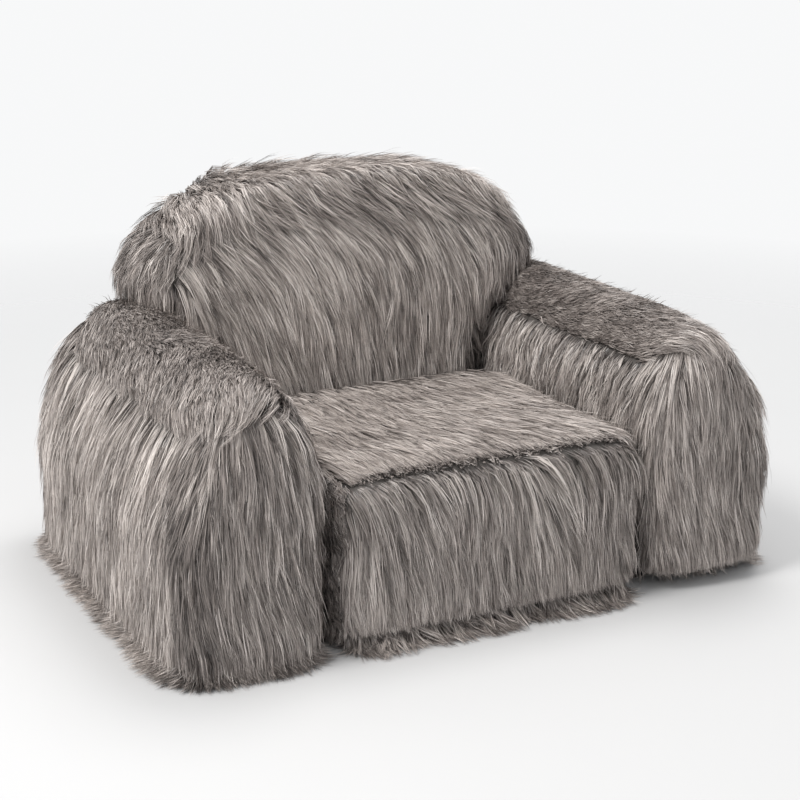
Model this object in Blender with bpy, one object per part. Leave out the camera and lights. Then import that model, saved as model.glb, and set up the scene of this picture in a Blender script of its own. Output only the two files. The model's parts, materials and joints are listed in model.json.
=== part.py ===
"""Long-pile bean bag armchair: four stuffed cushions (seat, back, two arms) on a flat base.

The sitter looks along -Y, +X is the right-hand side as seen from the front, and +Z is up. The origin
is on the floor under the middle of the chair. Each cushion is made in layers, from the outside in: fur
cover panels sewn edge to edge, an inner bag with a filling slit and its own zip, and the foam filling.
"""

import math

import bmesh
import bpy
from mathutils import Vector

# Driving dimensions, in metres. The outer sizes are over the lying pile.
WIDTH = 1.20
DEPTH = 0.84
HEIGHT = 0.72
SEAT_WIDTH = 0.61
SEAT_DEPTH = 0.57
SEAT_HEIGHT = 0.33
SEAT_FRONT_SETBACK = 0.008
ARM_HEIGHT = 0.506
ARM_TAPER = 0.17
BACK_OVER_ARM = 0.15
BACK_WIDTH = SEAT_WIDTH + 2 * BACK_OVER_ARM
BACK_FLARE_POWER = 3.3
BACK_REAR_SETBACK = 0.002

PILE_THICKNESS = 0.022
LINING_THICKNESS = 0.004
BAG_THICKNESS = 0.0015
BASE_THICKNESS = 0.004
BASE_SETBACK = 0.09
LAYER_GAP = 0.0006
CUSHION_GAP = 0.004
FIT_GAP = 0.0003

# How square each cushion is: 2 is an ellipse, and a larger power is closer to a box.
SEAT_POWERS = {"top": 9.0, "bottom": 10.0, "depth": 14.0}
ARM_POWERS = {"top": 2.5, "bottom": 9.0, "depth": 7.0}
BACK_POWERS = {"top": 3.2, "bottom": 9.0, "depth": 7.0}
BASE_POWER = 6.0
SEAT_WAIST = 0.165
ARM_WAIST = 0.21

# The back spreads over the arms: from its waist, this far below their tops, to this far above them.
BACK_WAIST = ARM_HEIGHT - 0.178
BACK_FLARE_END = ARM_HEIGHT + 0.027
DOME_START = 0.75

# The grid that every cushion shares, on a cube from -1 to 1. The two middle heights bound the filling slit.
SLIT_HALF_HEIGHT = 0.035
PLAN_LINES = (-1.0, -0.866, -0.5, 0.0, 0.5, 0.866, 1.0)
HEIGHT_LINES = (-1.0, -0.866, -0.5, -SLIT_HALF_HEIGHT, SLIT_HALF_HEIGHT, 0.5, 0.866, 1.0)
FLARE_LINES = (0.4, 0.61, 0.8, 0.95)
SHOULDER_LINE = 0.7
LINE_SPACING = 0.03
SLIT_COLUMNS = (2, 3)
SLIT_ROW = 3
SEAM_TRIM = 0.0014
BAG_ZIP_GAP = 0.0012
SHARP_ANGLE = 0.6

# The cover's zip, across the rear panel near the floor. The tape tails leave room for the pull tab.
ZIP_HEIGHT = 0.09
ZIP_END_MARGIN = 0.104
ZIP_LENGTH = SEAT_WIDTH - 2 * ZIP_END_MARGIN
ZIP_WINDOW_HEIGHT = 0.030
ZIP_TAIL = 0.022
ZIP_SUNK = 0.0145
TAPE_THICKNESS = 0.001
COIL_WIDTH = 0.0022
COIL_THICKNESS = 0.0024
COIL_SPACING = 0.0014
STOP_LENGTH = 0.003
SLIDER_LENGTH = 0.013
SLIDER_WIDTH = 0.012
SLIDER_PLATE = 0.0015
SLIDER_CLEARANCE = 0.0004
SLIDER_WEB = 0.0007
BAIL_BAR_RADIUS = 0.0012
BAIL_POST = 0.0016
BAIL_POST_LENGTH = 0.003
EYE_HOLE_RADIUS = 0.00155
EYE_RADIUS = 0.0028
EYE_HEIGHT = 0.0054
PULL_LENGTH = 0.028
PULL_WIDTH = 0.008
PULL_THICKNESS = 0.0014
ROUND_SIDES = 24

SIDES = {
    "left": (0, -1),
    "right": (0, 1),
    "front": (1, -1),
    "rear": (1, 1),
    "bottom": (2, -1),
    "top": (2, 1),
}

FINISHES = {
    "fur": ((0.31, 0.275, 0.255, 1.0), 0.75, 0.0),
    "lining": ((0.10, 0.095, 0.09, 1.0), 0.90, 0.0),
    "bag": ((0.62, 0.60, 0.57, 1.0), 0.85, 0.0),
    "foam": ((0.80, 0.74, 0.62, 1.0), 0.95, 0.0),
    "base": ((0.06, 0.058, 0.055, 1.0), 0.90, 0.0),
    "tape": ((0.16, 0.15, 0.145, 1.0), 0.85, 0.0),
    "nylon": ((0.13, 0.125, 0.12, 1.0), 0.45, 0.0),
    "nickel": ((0.62, 0.61, 0.59, 1.0), 0.28, 1.0),
}


def clear_scene():
    for obj in list(bpy.data.objects):
        bpy.data.objects.remove(obj, do_unlink=True)


def finish_material(node, finish):
    colour, roughness, metallic = FINISHES[finish]
    material = bpy.data.materials.new(node)
    material.use_nodes = True
    shader = material.node_tree.nodes["Principled BSDF"]
    shader.inputs["Base Color"].default_value = colour
    shader.inputs["Roughness"].default_value = roughness
    shader.inputs["Metallic"].default_value = metallic
    material.diffuse_color = colour
    return material


def add_object(name, bm, location, finish=None):
    """An object from a bmesh that is drawn around its own origin."""
    bmesh.ops.recalc_face_normals(bm, faces=bm.faces)
    mesh = bpy.data.meshes.new(name)
    bm.to_mesh(mesh)
    bm.free()
    obj = bpy.data.objects.new(name, mesh)
    bpy.context.scene.collection.objects.link(obj)
    obj.location = location
    if finish:
        mesh.materials.append(finish_material(name, finish))
    return obj


def smooth_step(low, high, value):
    share = min(max((value - low) / (high - low), 0.0), 1.0)
    return share * share * (3.0 - 2.0 * share)


# The cushions


def back_warp(point):
    """The back is as narrow as the seat between the arms, and spreads over them whatever its height."""
    low_share = (SEAT_WIDTH - CUSHION_GAP) / BACK_WIDTH
    rise = (point.z - BACK_WAIST) / (BACK_FLARE_END - BACK_WAIST)
    rise = min(max(rise, 0.0), 1.0)
    share = low_share + (1.0 - low_share) * rise**BACK_FLARE_POWER
    over = min(max(point.z - BACK_WAIST, 0.0) / (HEIGHT - BACK_WAIST), 1.0)
    dome = (1.0 - over ** BACK_POWERS["top"]) ** (1 / BACK_POWERS["top"])
    share /= dome ** (1.0 - smooth_step(DOME_START, 1.0, rise))
    return Vector((point.x * share, point.y, point.z))


def back_height_lines():
    """The grid heights of the back. A plain line gives way to a line of the flare that is close to it."""
    flare = []
    for rise in FLARE_LINES:
        over = rise * (BACK_FLARE_END - BACK_WAIST) / (HEIGHT - BACK_WAIST)
        flare.append(over / (1.0 - over ** BACK_POWERS["top"]) ** (1 / BACK_POWERS["top"]))
    plain = HEIGHT_LINES[:5] + (SHOULDER_LINE,) + HEIGHT_LINES[-2:]
    kept = [line for line in plain if all(abs(line - other) > LINE_SPACING for other in flare)]
    return tuple(sorted(kept + flare))


def arm_warp(point):
    """The arm's outer side slopes in above the waist."""
    inner = SEAT_WIDTH / 2
    keep = 1.0 - ARM_TAPER * smooth_step(ARM_WAIST, ARM_HEIGHT, point.z)
    outward = (abs(point.x) - inner) * keep
    return Vector((math.copysign(inner + outward, point.x), point.y, point.z))


def no_warp(point):
    return point


def make_cushion(low, high, waist, powers, pile_sides, warp=no_warp, height_lines=HEIGHT_LINES):
    """A cushion between two corners. Its sides in pile_sides are fur, and the hidden ones are thin lining."""
    centre = Vector(((low[0] + high[0]) / 2, (low[1] + high[1]) / 2, waist))
    reach = {}
    for side, (axis, sign) in SIDES.items():
        reach[side] = abs((high if sign > 0 else low)[axis] - centre[axis])
    thickness = {side: PILE_THICKNESS if side in pile_sides else LINING_THICKNESS for side in SIDES}
    return {
        "centre": centre,
        "reach": reach,
        "thickness": thickness,
        "powers": powers,
        "warp": warp,
        "height_lines": height_lines,
    }


def layer_depth(cushion, side, layer):
    cover = cushion["thickness"][side]
    return {
        "cover_out": 0.0,
        "cover_in": cover,
        "bag_out": cover + LAYER_GAP,
        "bag_in": cover + LAYER_GAP + BAG_THICKNESS,
        "filling": cover + 2 * LAYER_GAP + BAG_THICKNESS,
    }[layer]


def layer_point(cushion, cube, layer):
    """Where a point of the cube lands on one layer of the cushion."""
    across = cushion["powers"]["top" if cube.z > 0 else "bottom"]
    depth = cushion["powers"]["depth"]
    section = (abs(cube.x) ** across + abs(cube.z) ** across) ** (1 / across)
    scale = (section**depth + abs(cube.y) ** depth) ** (-1 / depth)
    local = Vector((0.0, 0.0, 0.0))
    for side, (axis, sign) in SIDES.items():
        if cube[axis] * sign > 0:
            reach = cushion["reach"][side] - layer_depth(cushion, side, layer)
            local[axis] = scale * cube[axis] * reach
    return cushion["warp"](cushion["centre"] + local)


def side_cells(cushion, side):
    """The grid cells of one side of the cube, as (column, row, four corners)."""
    axis, sign = SIDES[side]
    across, along = [other for other in range(3) if other != axis]
    column_lines = PLAN_LINES
    row_lines = cushion["height_lines"] if along == 2 else PLAN_LINES
    for column in range(len(column_lines) - 1):
        for row in range(len(row_lines) - 1):
            corners = []
            for step, rise in ((0, 0), (1, 0), (1, 1), (0, 1)):
                corner = Vector((0.0, 0.0, 0.0))
                corner[axis] = sign
                corner[across] = column_lines[column + step]
                corner[along] = row_lines[row + rise]
                corners.append(corner)
            yield column, row, corners


def in_slit(side, column, row):
    return side == "rear" and column in SLIT_COLUMNS and row == SLIT_ROW


def layer_faces(cushion, cells, layer, trim=None):
    """A bmesh of cube cells on one layer. Each vertex remembers its place on the cube."""
    bm = bmesh.new()
    cube_of = bm.verts.layers.float_vector.new("cube")
    made = {}
    for corners in cells:
        face = []
        for corner in corners:
            cube = trim(corner) if trim else corner
            key = tuple(round(value, 5) for value in cube)
            if key not in made:
                made[key] = bm.verts.new(layer_point(cushion, cube, layer) - cushion["centre"])
                made[key][cube_of] = cube
            face.append(made[key])
        bm.faces.new(face)
    bmesh.ops.recalc_face_normals(bm, faces=bm.faces)
    bmesh.ops.triangulate(bm, faces=bm.faces[:], quad_method="FIXED")
    return bm, cube_of


def extruded(bm):
    """Extrudes all faces of a skin and returns the new vertices."""
    grown = bmesh.ops.extrude_face_region(bm, geom=bm.faces[:])
    return [item for item in grown["geom"] if isinstance(item, bmesh.types.BMVert)]


def add_soft(name, cushion, bm, finish):
    obj = add_object(name, bm, cushion["centre"], finish)
    obj.data.shade_smooth()
    obj.data.set_sharp_from_angle(angle=SHARP_ANGLE)
    return obj


def build_skin(name, cushion, cells, outer, inner, finish, trim=None):
    """A skin between two layers of the cushion, over some of its cells."""
    bm, cube_of = layer_faces(cushion, cells, outer, trim)
    for vert in extruded(bm):
        vert.co = layer_point(cushion, Vector(vert[cube_of]), inner) - cushion["centre"]
    rims = [face for face in bm.faces if len(face.verts) == 4]
    bmesh.ops.triangulate(bm, faces=rims, quad_method="SHORT_EDGE")
    return add_soft(name, cushion, bm, finish)


def build_panel(name, cushion, sides, finish):
    """A cover panel over some sides of the cube, trimmed a little along its seams to the other sides."""
    cells = [cell[2] for side in sides for cell in side_cells(cushion, side)]
    seams = [SIDES[side] for side in SIDES if side not in sides]

    def trim(corner):
        cube = corner.copy()
        for axis, sign in seams:
            if cube[axis] * sign > 1.0 - SEAM_TRIM:
                cube[axis] = sign * (1.0 - SEAM_TRIM)
        return cube

    return build_skin(name, cushion, cells, "cover_out", "cover_in", finish, trim)


def build_bag_zip(name, cushion, slit):
    """The strip that fills the bag's slit, with a small gap all round."""
    bm = layer_faces(cushion, slit, "bag_out")[0]
    rim = bmesh.ops.inset_region(bm, faces=bm.faces[:], thickness=BAG_ZIP_GAP, use_boundary=True)
    bmesh.ops.delete(bm, geom=rim["faces"], context="FACES")
    bmesh.ops.translate(bm, verts=extruded(bm), vec=(0.0, -BAG_THICKNESS, 0.0))
    add_soft(name, cushion, bm, "tape")


def build_inside(name, cushion):
    """The inner bag, open at its slit, the zip strip that closes the slit, and the filling."""
    everything = [(side, *cell) for side in SIDES for cell in side_cells(cushion, side)]
    bag = [cell[3] for cell in everything if not in_slit(*cell[:3])]
    slit = [cell[3] for cell in everything if in_slit(*cell[:3])]
    build_skin(name + "_inner_bag", cushion, bag, "bag_out", "bag_in", "bag")
    build_bag_zip(name + "_bag_zip", cushion, slit)
    filling = layer_faces(cushion, [cell[3] for cell in everything], "filling")[0]
    add_soft(name + "_filling", cushion, filling, "foam")


def rear_face(cushion, height):
    """The y of the cushion's rear face at x = 0 and this height."""
    over = height - cushion["centre"].z
    over /= cushion["reach"]["top" if over > 0 else "bottom"]
    depth = cushion["powers"]["depth"]
    bulge = (1.0 - abs(over) ** depth) ** (1 / depth)
    return cushion["centre"].y + cushion["reach"]["rear"] * bulge


def build_seat():
    half = SEAT_WIDTH / 2 - CUSHION_GAP / 2
    front = -DEPTH / 2 + SEAT_FRONT_SETBACK
    low = (-half, front, BASE_THICKNESS + FIT_GAP)
    high = (half, front + SEAT_DEPTH, SEAT_HEIGHT)
    seat = make_cushion(low, high, SEAT_WAIST, SEAT_POWERS, ("top", "front"))
    build_panel("seat_top_panel", seat, ["top"], "fur")
    build_panel("seat_front_panel", seat, ["front"], "fur")
    build_panel("seat_lining", seat, ["left", "right", "rear", "bottom"], "lining")
    build_inside("seat", seat)


def build_arm(name, sign):
    inner = SEAT_WIDTH / 2 + CUSHION_GAP / 2
    ends = sorted((sign * inner, sign * WIDTH / 2))
    low = (ends[0], -DEPTH / 2, BASE_THICKNESS + FIT_GAP)
    high = (ends[1], DEPTH / 2, ARM_HEIGHT)
    fur_sides = ("left", "right", "front", "rear", "top")
    arm = make_cushion(low, high, ARM_WAIST, ARM_POWERS, fur_sides, arm_warp)
    outer_side, inner_side = ("left", "right") if sign < 0 else ("right", "left")
    build_panel(name + "_top_panel", arm, ["top"], "fur")
    build_panel(name + "_front_panel", arm, ["front"], "fur")
    build_panel(name + "_outer_panel", arm, [outer_side], "fur")
    build_panel(name + "_inner_panel", arm, [inner_side], "fur")
    build_panel(name + "_rear_panel", arm, ["rear"], "fur")
    build_panel(name + "_bottom_lining", arm, ["bottom"], "lining")
    build_inside(name, arm)


def build_back():
    """Returns the rear panel, which the zip is let into, and the cushion."""
    half = BACK_WIDTH / 2
    front = -DEPTH / 2 + SEAT_FRONT_SETBACK + SEAT_DEPTH + CUSHION_GAP
    low = (-half, front, BASE_THICKNESS + FIT_GAP)
    high = (half, DEPTH / 2 - BACK_REAR_SETBACK, HEIGHT)
    fur_sides = ("left", "right", "front", "rear", "top")
    back = make_cushion(low, high, BACK_WAIST, BACK_POWERS, fur_sides, back_warp, back_height_lines())
    build_panel("back_front_panel", back, ["front"], "fur")
    build_panel("back_left_gusset", back, ["left"], "fur")
    build_panel("back_right_gusset", back, ["right"], "fur")
    build_panel("back_top_gusset", back, ["top"], "fur")
    build_panel("back_bottom_lining", back, ["bottom"], "lining")
    build_inside("back", back)
    return build_panel("back_rear_panel", back, ["rear"], "fur"), back


def build_base():
    """The flat base panel under all four cushions, a rounded oblong."""
    half_x = WIDTH / 2 - BASE_SETBACK
    half_y = DEPTH / 2 - BASE_SETBACK
    bm = bmesh.new()
    bmesh.ops.create_circle(bm, cap_ends=True, radius=1.0, segments=2 * ROUND_SIDES)
    for vert in bm.verts:
        stretch = (abs(vert.co.x) ** BASE_POWER + abs(vert.co.y) ** BASE_POWER) ** (-1 / BASE_POWER)
        vert.co = Vector((vert.co.x * stretch * half_x, vert.co.y * stretch * half_y, 0.0))
    grown = bmesh.ops.extrude_face_region(bm, geom=bm.faces[:])
    raised = [vert for vert in grown["geom"] if isinstance(vert, bmesh.types.BMVert)]
    bmesh.ops.translate(bm, verts=raised, vec=(0.0, 0.0, BASE_THICKNESS))
    add_object("base_panel", bm, (0.0, 0.0, 0.0), "base")


# The cover's zip


def box_mesh(size, centre=(0.0, 0.0, 0.0)):
    bm = bmesh.new()
    bmesh.ops.create_cube(bm, size=1.0)
    bmesh.ops.scale(bm, vec=size, verts=bm.verts)
    bmesh.ops.translate(bm, vec=centre, verts=bm.verts)
    return bm


def rod_mesh(radius, length):
    """A round rod along Z, around the origin."""
    bm = bmesh.new()
    bmesh.ops.create_cone(
        bm, cap_ends=True, radius1=radius, radius2=radius, depth=length, segments=ROUND_SIDES
    )
    return bm


def add_helper(name, bm, location):
    helper = add_object(name, bm, location)
    helper.hide_render = True
    helper.display_type = "WIRE"
    return helper


def combine(obj, operation, helper):
    modifier = obj.modifiers.new(helper.name, "BOOLEAN")
    modifier.operation = operation
    modifier.object = helper


def build_zip_track(centre):
    """Two tapes that run on past the zip's ends, their coils, and the stops at the ends of the coils."""
    coil_length = ZIP_LENGTH - 2 * (STOP_LENGTH + FIT_GAP)
    coil_middle = COIL_SPACING / 2 + COIL_WIDTH / 2
    tape_inner = COIL_SPACING / 2 + COIL_WIDTH + FIT_GAP
    tape_outer = ZIP_WINDOW_HEIGHT / 2 - FIT_GAP
    tape_middle = (tape_inner + tape_outer) / 2
    for level, sign in (("upper", 1), ("lower", -1)):
        tape = box_mesh((ZIP_LENGTH + 2 * ZIP_TAIL - 2 * FIT_GAP, TAPE_THICKNESS, tape_outer - tape_inner))
        add_object("zip_tape_" + level, tape, centre + Vector((0.0, 0.0, sign * tape_middle)), "tape")
        coil = box_mesh((coil_length, COIL_THICKNESS, COIL_WIDTH))
        add_object("zip_coil_" + level, coil, centre + Vector((0.0, 0.0, sign * coil_middle)), "nylon")
    stop_height = COIL_SPACING + 2 * COIL_WIDTH
    for end, sign in (("left", -1), ("right", 1)):
        stop = box_mesh((STOP_LENGTH, COIL_THICKNESS, stop_height))
        offset = sign * (ZIP_LENGTH - STOP_LENGTH) / 2
        add_object("zip_stop_" + end, stop, centre + Vector((offset, 0.0, 0.0)), "nickel")


def build_zip_slider(centre):
    """The slider at the zip's left end: two plates, a web between the coils, and the bail for the tab."""
    rest = centre + Vector((-(ZIP_LENGTH - SLIDER_LENGTH) / 2 + STOP_LENGTH + 2 * FIT_GAP, 0.0, 0.0))
    plate_middle = COIL_THICKNESS / 2 + SLIDER_CLEARANCE + SLIDER_PLATE / 2
    plate_top = plate_middle + SLIDER_PLATE / 2
    bar_height = plate_top + EYE_RADIUS + FIT_GAP
    bar_length = EYE_HEIGHT + 2 * FIT_GAP + 2 * BAIL_POST
    slider = add_object(
        "zip_slider", box_mesh((SLIDER_LENGTH, 2 * plate_middle, SLIDER_WEB)), rest, "nickel"
    )
    for layer, sign in (("outer", 1), ("inner", -1)):
        plate = box_mesh((SLIDER_LENGTH, SLIDER_PLATE, SLIDER_WIDTH))
        helper = add_helper(f"slider_{layer}_plate", plate, rest + Vector((0.0, sign * plate_middle, 0.0)))
        combine(slider, "UNION", helper)
    post_length = bar_height - plate_middle
    for level, sign in (("upper", 1), ("lower", -1)):
        post = box_mesh((BAIL_POST_LENGTH, post_length, BAIL_POST))
        post_z = sign * (bar_length - BAIL_POST) / 2
        place = rest + Vector((0.0, plate_middle + post_length / 2, post_z))
        combine(slider, "UNION", add_helper(f"bail_{level}_post", post, place))
    axle = rest + Vector((0.0, bar_height, 0.0))
    bar = add_helper("bail_bar", rod_mesh(BAIL_BAR_RADIUS, bar_length - FIT_GAP), axle)
    combine(slider, "UNION", bar)
    return axle


def build_pull_tab(axle):
    """The pull tab turns on the bail's bar. It lies along the zip at rest."""
    eye_wall = (EYE_HOLE_RADIUS + EYE_RADIUS) / 2
    plate = box_mesh(
        (PULL_LENGTH - eye_wall, PULL_THICKNESS, EYE_HEIGHT), ((PULL_LENGTH + eye_wall) / 2, 0.0, 0.0)
    )
    tab = add_object("zip_pull_tab", plate, axle, "nickel")
    grip_length = PULL_LENGTH * 0.6
    grip = box_mesh((grip_length, PULL_THICKNESS * 1.2, PULL_WIDTH))
    place = axle + Vector((PULL_LENGTH - grip_length / 2 + FIT_GAP, 0.0, 0.0))
    combine(tab, "UNION", add_helper("pull_grip", grip, place))
    combine(tab, "UNION", add_helper("pull_eye", rod_mesh(EYE_RADIUS, EYE_HEIGHT), axle))
    combine(tab, "DIFFERENCE", add_helper("pull_eye_hole", rod_mesh(EYE_HOLE_RADIUS, 2 * EYE_HEIGHT), axle))


def build_zip(rear_panel, back):
    face = rear_face(back, ZIP_HEIGHT)
    centre = Vector((0.0, face - ZIP_SUNK, ZIP_HEIGHT))
    window_size = (ZIP_LENGTH + 2 * ZIP_TAIL, 4 * PILE_THICKNESS, ZIP_WINDOW_HEIGHT)
    window = add_helper("zip_window", box_mesh(window_size), Vector((0.0, face, ZIP_HEIGHT)))
    combine(rear_panel, "DIFFERENCE", window)
    build_zip_track(centre)
    build_pull_tab(build_zip_slider(centre))


def main():
    clear_scene()
    build_base()
    build_seat()
    build_arm("left_arm", -1)
    build_arm("right_arm", 1)
    rear_panel, back = build_back()
    build_zip(rear_panel, back)


main()
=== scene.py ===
import json
import math

import bpy
import numpy as np
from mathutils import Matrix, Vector


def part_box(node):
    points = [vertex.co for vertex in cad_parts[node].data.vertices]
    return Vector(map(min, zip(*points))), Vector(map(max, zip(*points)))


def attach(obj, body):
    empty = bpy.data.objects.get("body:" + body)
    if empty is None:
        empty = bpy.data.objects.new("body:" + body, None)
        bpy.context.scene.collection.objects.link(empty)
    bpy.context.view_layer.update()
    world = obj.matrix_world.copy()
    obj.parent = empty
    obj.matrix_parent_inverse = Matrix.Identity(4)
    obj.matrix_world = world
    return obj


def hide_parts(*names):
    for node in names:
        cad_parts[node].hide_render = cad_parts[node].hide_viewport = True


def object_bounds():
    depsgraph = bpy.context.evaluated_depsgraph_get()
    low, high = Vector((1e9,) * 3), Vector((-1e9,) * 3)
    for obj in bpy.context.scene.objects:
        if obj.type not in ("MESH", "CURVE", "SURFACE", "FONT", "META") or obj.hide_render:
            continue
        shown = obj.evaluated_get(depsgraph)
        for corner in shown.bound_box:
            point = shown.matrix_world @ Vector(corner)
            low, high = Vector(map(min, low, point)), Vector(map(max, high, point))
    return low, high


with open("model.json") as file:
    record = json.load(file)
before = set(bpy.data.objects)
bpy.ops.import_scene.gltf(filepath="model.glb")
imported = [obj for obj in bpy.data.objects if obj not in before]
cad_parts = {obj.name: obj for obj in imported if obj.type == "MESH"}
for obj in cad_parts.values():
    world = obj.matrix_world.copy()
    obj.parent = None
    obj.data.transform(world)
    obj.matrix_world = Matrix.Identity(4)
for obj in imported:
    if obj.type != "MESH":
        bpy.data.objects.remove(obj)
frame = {"nodes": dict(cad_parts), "record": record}
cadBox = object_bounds()
print("frame loaded")

# Shader maths


class Wire:
    # one value or colour in a material, so that node maths reads as plain sums
    def __init__(self, kit, socket):
        self.kit = kit
        self.socket = socket

    def maths(self, operation, first, second):
        return self.kit.node("ShaderNodeMath", {"operation": operation}, {0: first, 1: second})

    def __add__(self, other):
        return self.maths("ADD", self, other)

    def __radd__(self, other):
        return self.maths("ADD", other, self)

    def __sub__(self, other):
        return self.maths("SUBTRACT", self, other)

    def __rsub__(self, other):
        return self.maths("SUBTRACT", other, self)

    def __mul__(self, other):
        return self.maths("MULTIPLY", self, other)

    def __rmul__(self, other):
        return self.maths("MULTIPLY", other, self)

    def __truediv__(self, other):
        return self.maths("DIVIDE", self, other)

    def __rtruediv__(self, other):
        return self.maths("DIVIDE", other, self)

    def __pow__(self, other):
        return self.maths("POWER", self, other)


class Finish:
    # a new material and the few calls that build its nodes
    def __init__(self, name):
        self.material = bpy.data.materials.new(name)
        self.material.use_nodes = True
        self.tree = self.material.node_tree
        self.shader = self.tree.nodes["Principled BSDF"]

    def feed(self, socket, value):
        if isinstance(value, Wire):
            self.tree.links.new(value.socket, socket)
        else:
            socket.default_value = value

    def node(self, kind, settings=None, values=None, output=0):
        made = self.tree.nodes.new(kind)
        for key, value in (settings or {}).items():
            if key == "stops":
                self.rampStops(made.color_ramp, value)
            else:
                setattr(made, key, value)
        for key, value in (values or {}).items():
            self.feed(made.inputs[key], value)
        return Wire(self, made.outputs[output])

    def rampStops(self, ramp, stops):
        while len(ramp.elements) < len(stops):
            ramp.elements.new(0.5)
        for element, (place, colour) in zip(ramp.elements, stops):
            element.position = place
            element.color = colour

    def ramp(self, factor, stops):
        return self.node("ShaderNodeValToRGB", {"stops": stops}, {"Fac": factor})

    def mix(self, factor, first, second, blend="MIX"):
        settings = {"data_type": "RGBA", "blend_type": blend, "clamp_factor": True}
        return self.node("ShaderNodeMix", settings, {0: factor, 6: first, 7: second}, output=2)

    def noise(self, vector, scale, detail=3.0, roughness=0.55):
        values = {"Vector": vector, "Scale": scale, "Detail": detail, "Roughness": roughness}
        return self.node("ShaderNodeTexNoise", {}, values)

    def stretched(self, vector, scale):
        return self.node("ShaderNodeVectorMath", {"operation": "MULTIPLY"}, {0: vector, 1: scale})

    def place(self):
        return self.node("ShaderNodeTexCoord", output=3)

    def bump(self, height, strength, distance):
        values = {"Height": height, "Strength": strength, "Distance": distance}
        return self.node("ShaderNodeBump", {}, values)

    def set(self, **inputs):
        for key, value in inputs.items():
            self.feed(self.shader.inputs[key.replace("_", " ")], value)
        return self.material


def grey(value, warmth=0.0):
    return (value * (1 + warmth), value, value * (1 - warmth), 1.0)


pileFinish = {
    "darkest": (0.068, 0.058, 0.054, 1.0),
    "middle": (0.300, 0.264, 0.247, 1.0),
    "lightest": (0.68, 0.625, 0.590, 1.0),
    "cool": (0.97, 1.0, 1.04, 1.0),
    "warm": (1.05, 1.0, 0.94, 1.0),
    "rootShade": 0.22,
    "roughness": 0.36,
    "streaks": 0.16,
}


def makePileFinish(name, settings):
    finish = Finish(name)
    onStrand = finish.node("ShaderNodeUVMap", {"uv_map": "OFBake"})
    split = finish.tree.nodes.new("ShaderNodeSeparateXYZ")
    finish.feed(split.inputs[0], onStrand)
    tone = Wire(finish, split.outputs[0])
    along = Wire(finish, split.outputs[1])
    stops = [(0.0, settings["darkest"]), (0.5, settings["middle"]), (1.0, settings["lightest"])]
    colour = finish.ramp(tone, stops)
    # painted shade: the ramp below darkens each strand towards its root, where the pile shades itself, and
    # lifts its tip a little above its tone
    shade = settings["rootShade"]
    depth = finish.ramp(along, [(0.0, grey(shade)), (0.35, grey(0.78)), (0.8, grey(1.0)),
                                (1.0, grey(1.12))])
    colour = finish.mix(1.0, colour, depth, "MULTIPLY")
    fine = finish.noise(finish.stretched(onStrand, (420.0, 5.0, 1.0)), 1.0)
    streak = 1.0 - settings["streaks"] + 2.0 * settings["streaks"] * fine
    tint = finish.noise(finish.stretched(onStrand, (37.0, 2.0, 1.0)), 1.0)
    colour = finish.mix(1.0, colour, finish.mix(tint, settings["cool"], settings["warm"]), "MULTIPLY")
    scaled = finish.node("ShaderNodeVectorMath", {"operation": "SCALE"}, {0: colour, "Scale": streak})
    roughness = settings["roughness"] - 0.06 + 0.12 * fine
    normal = finish.bump(fine, 0.25, 0.0004)
    return finish.set(Base_Color=scaled, Roughness=roughness, Normal=normal)


backingFinish = {"low": (0.055, 0.049, 0.045, 1.0), "high": (0.10, 0.09, 0.083, 1.0)}
liningFinish = {"low": (0.035, 0.033, 0.031, 1.0), "high": (0.075, 0.07, 0.066, 1.0)}
bagFinish = {"low": (0.50, 0.485, 0.46, 1.0), "high": (0.66, 0.64, 0.61, 1.0)}
foamFinish = {"low": (0.62, 0.55, 0.42, 1.0), "high": (0.85, 0.80, 0.70, 1.0)}
baseFinish = {"low": (0.022, 0.021, 0.02, 1.0), "high": (0.06, 0.057, 0.054, 1.0)}
tapeFinish = {"low": (0.045, 0.042, 0.04, 1.0), "high": (0.09, 0.085, 0.08, 1.0)}


def makeWovenFinish(name, settings, threads=900.0, roughness=0.85, depth=0.0004):
    # a plain weave: two crossing waves, broken up by noise, over blotches of tone
    finish = Finish(name)
    place = finish.place()
    wobble = finish.noise(place, 14.0)
    warp = finish.node("ShaderNodeTexWave", {"bands_direction": "X"},
                       {"Vector": place, "Scale": threads / 6.28, "Distortion": 0.6})
    weft = finish.node("ShaderNodeTexWave", {"bands_direction": "Z"},
                       {"Vector": place, "Scale": threads / 6.28, "Distortion": 0.6})
    across, along = (Wire(finish, thread.socket.node.outputs[1]) for thread in (warp, weft))
    weave = 0.5 * across + 0.5 * along
    colour = finish.mix(0.35 * weave + 0.65 * wobble, settings["low"], settings["high"])
    fuzz = finish.noise(place, 220.0)
    rough = roughness - 0.06 + 0.12 * fuzz
    return finish.set(Base_Color=colour, Roughness=rough,
                      Normal=finish.bump(weave + 0.4 * fuzz, 0.5, depth))


def makeFoamFinish(name, settings):
    finish = Finish(name)
    place = finish.place()
    crumbs = finish.node("ShaderNodeTexVoronoi", {}, {"Vector": place, "Scale": 70.0})
    pores = finish.noise(place, 900.0)
    colour = finish.mix(0.7 * crumbs + 0.3 * pores, settings["low"], settings["high"])
    return finish.set(Base_Color=colour, Roughness=0.85 + 0.1 * pores,
                      Normal=finish.bump(crumbs + 0.3 * pores, 0.6, 0.002))


def makeMetalFinish(name):
    finish = Finish(name)
    place = finish.place()
    scuffs = finish.noise(finish.stretched(place, (300.0, 900.0, 2600.0)), 1.0)
    tarnish = finish.noise(place, 160.0)
    colour = finish.mix(tarnish, (0.50, 0.485, 0.46, 1.0), (0.70, 0.69, 0.67, 1.0))
    finish.shader.inputs["Metallic"].default_value = 1.0
    return finish.set(Base_Color=colour, Roughness=0.22 + 0.2 * scuffs,
                      Normal=finish.bump(scuffs, 0.15, 0.0001))


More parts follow.
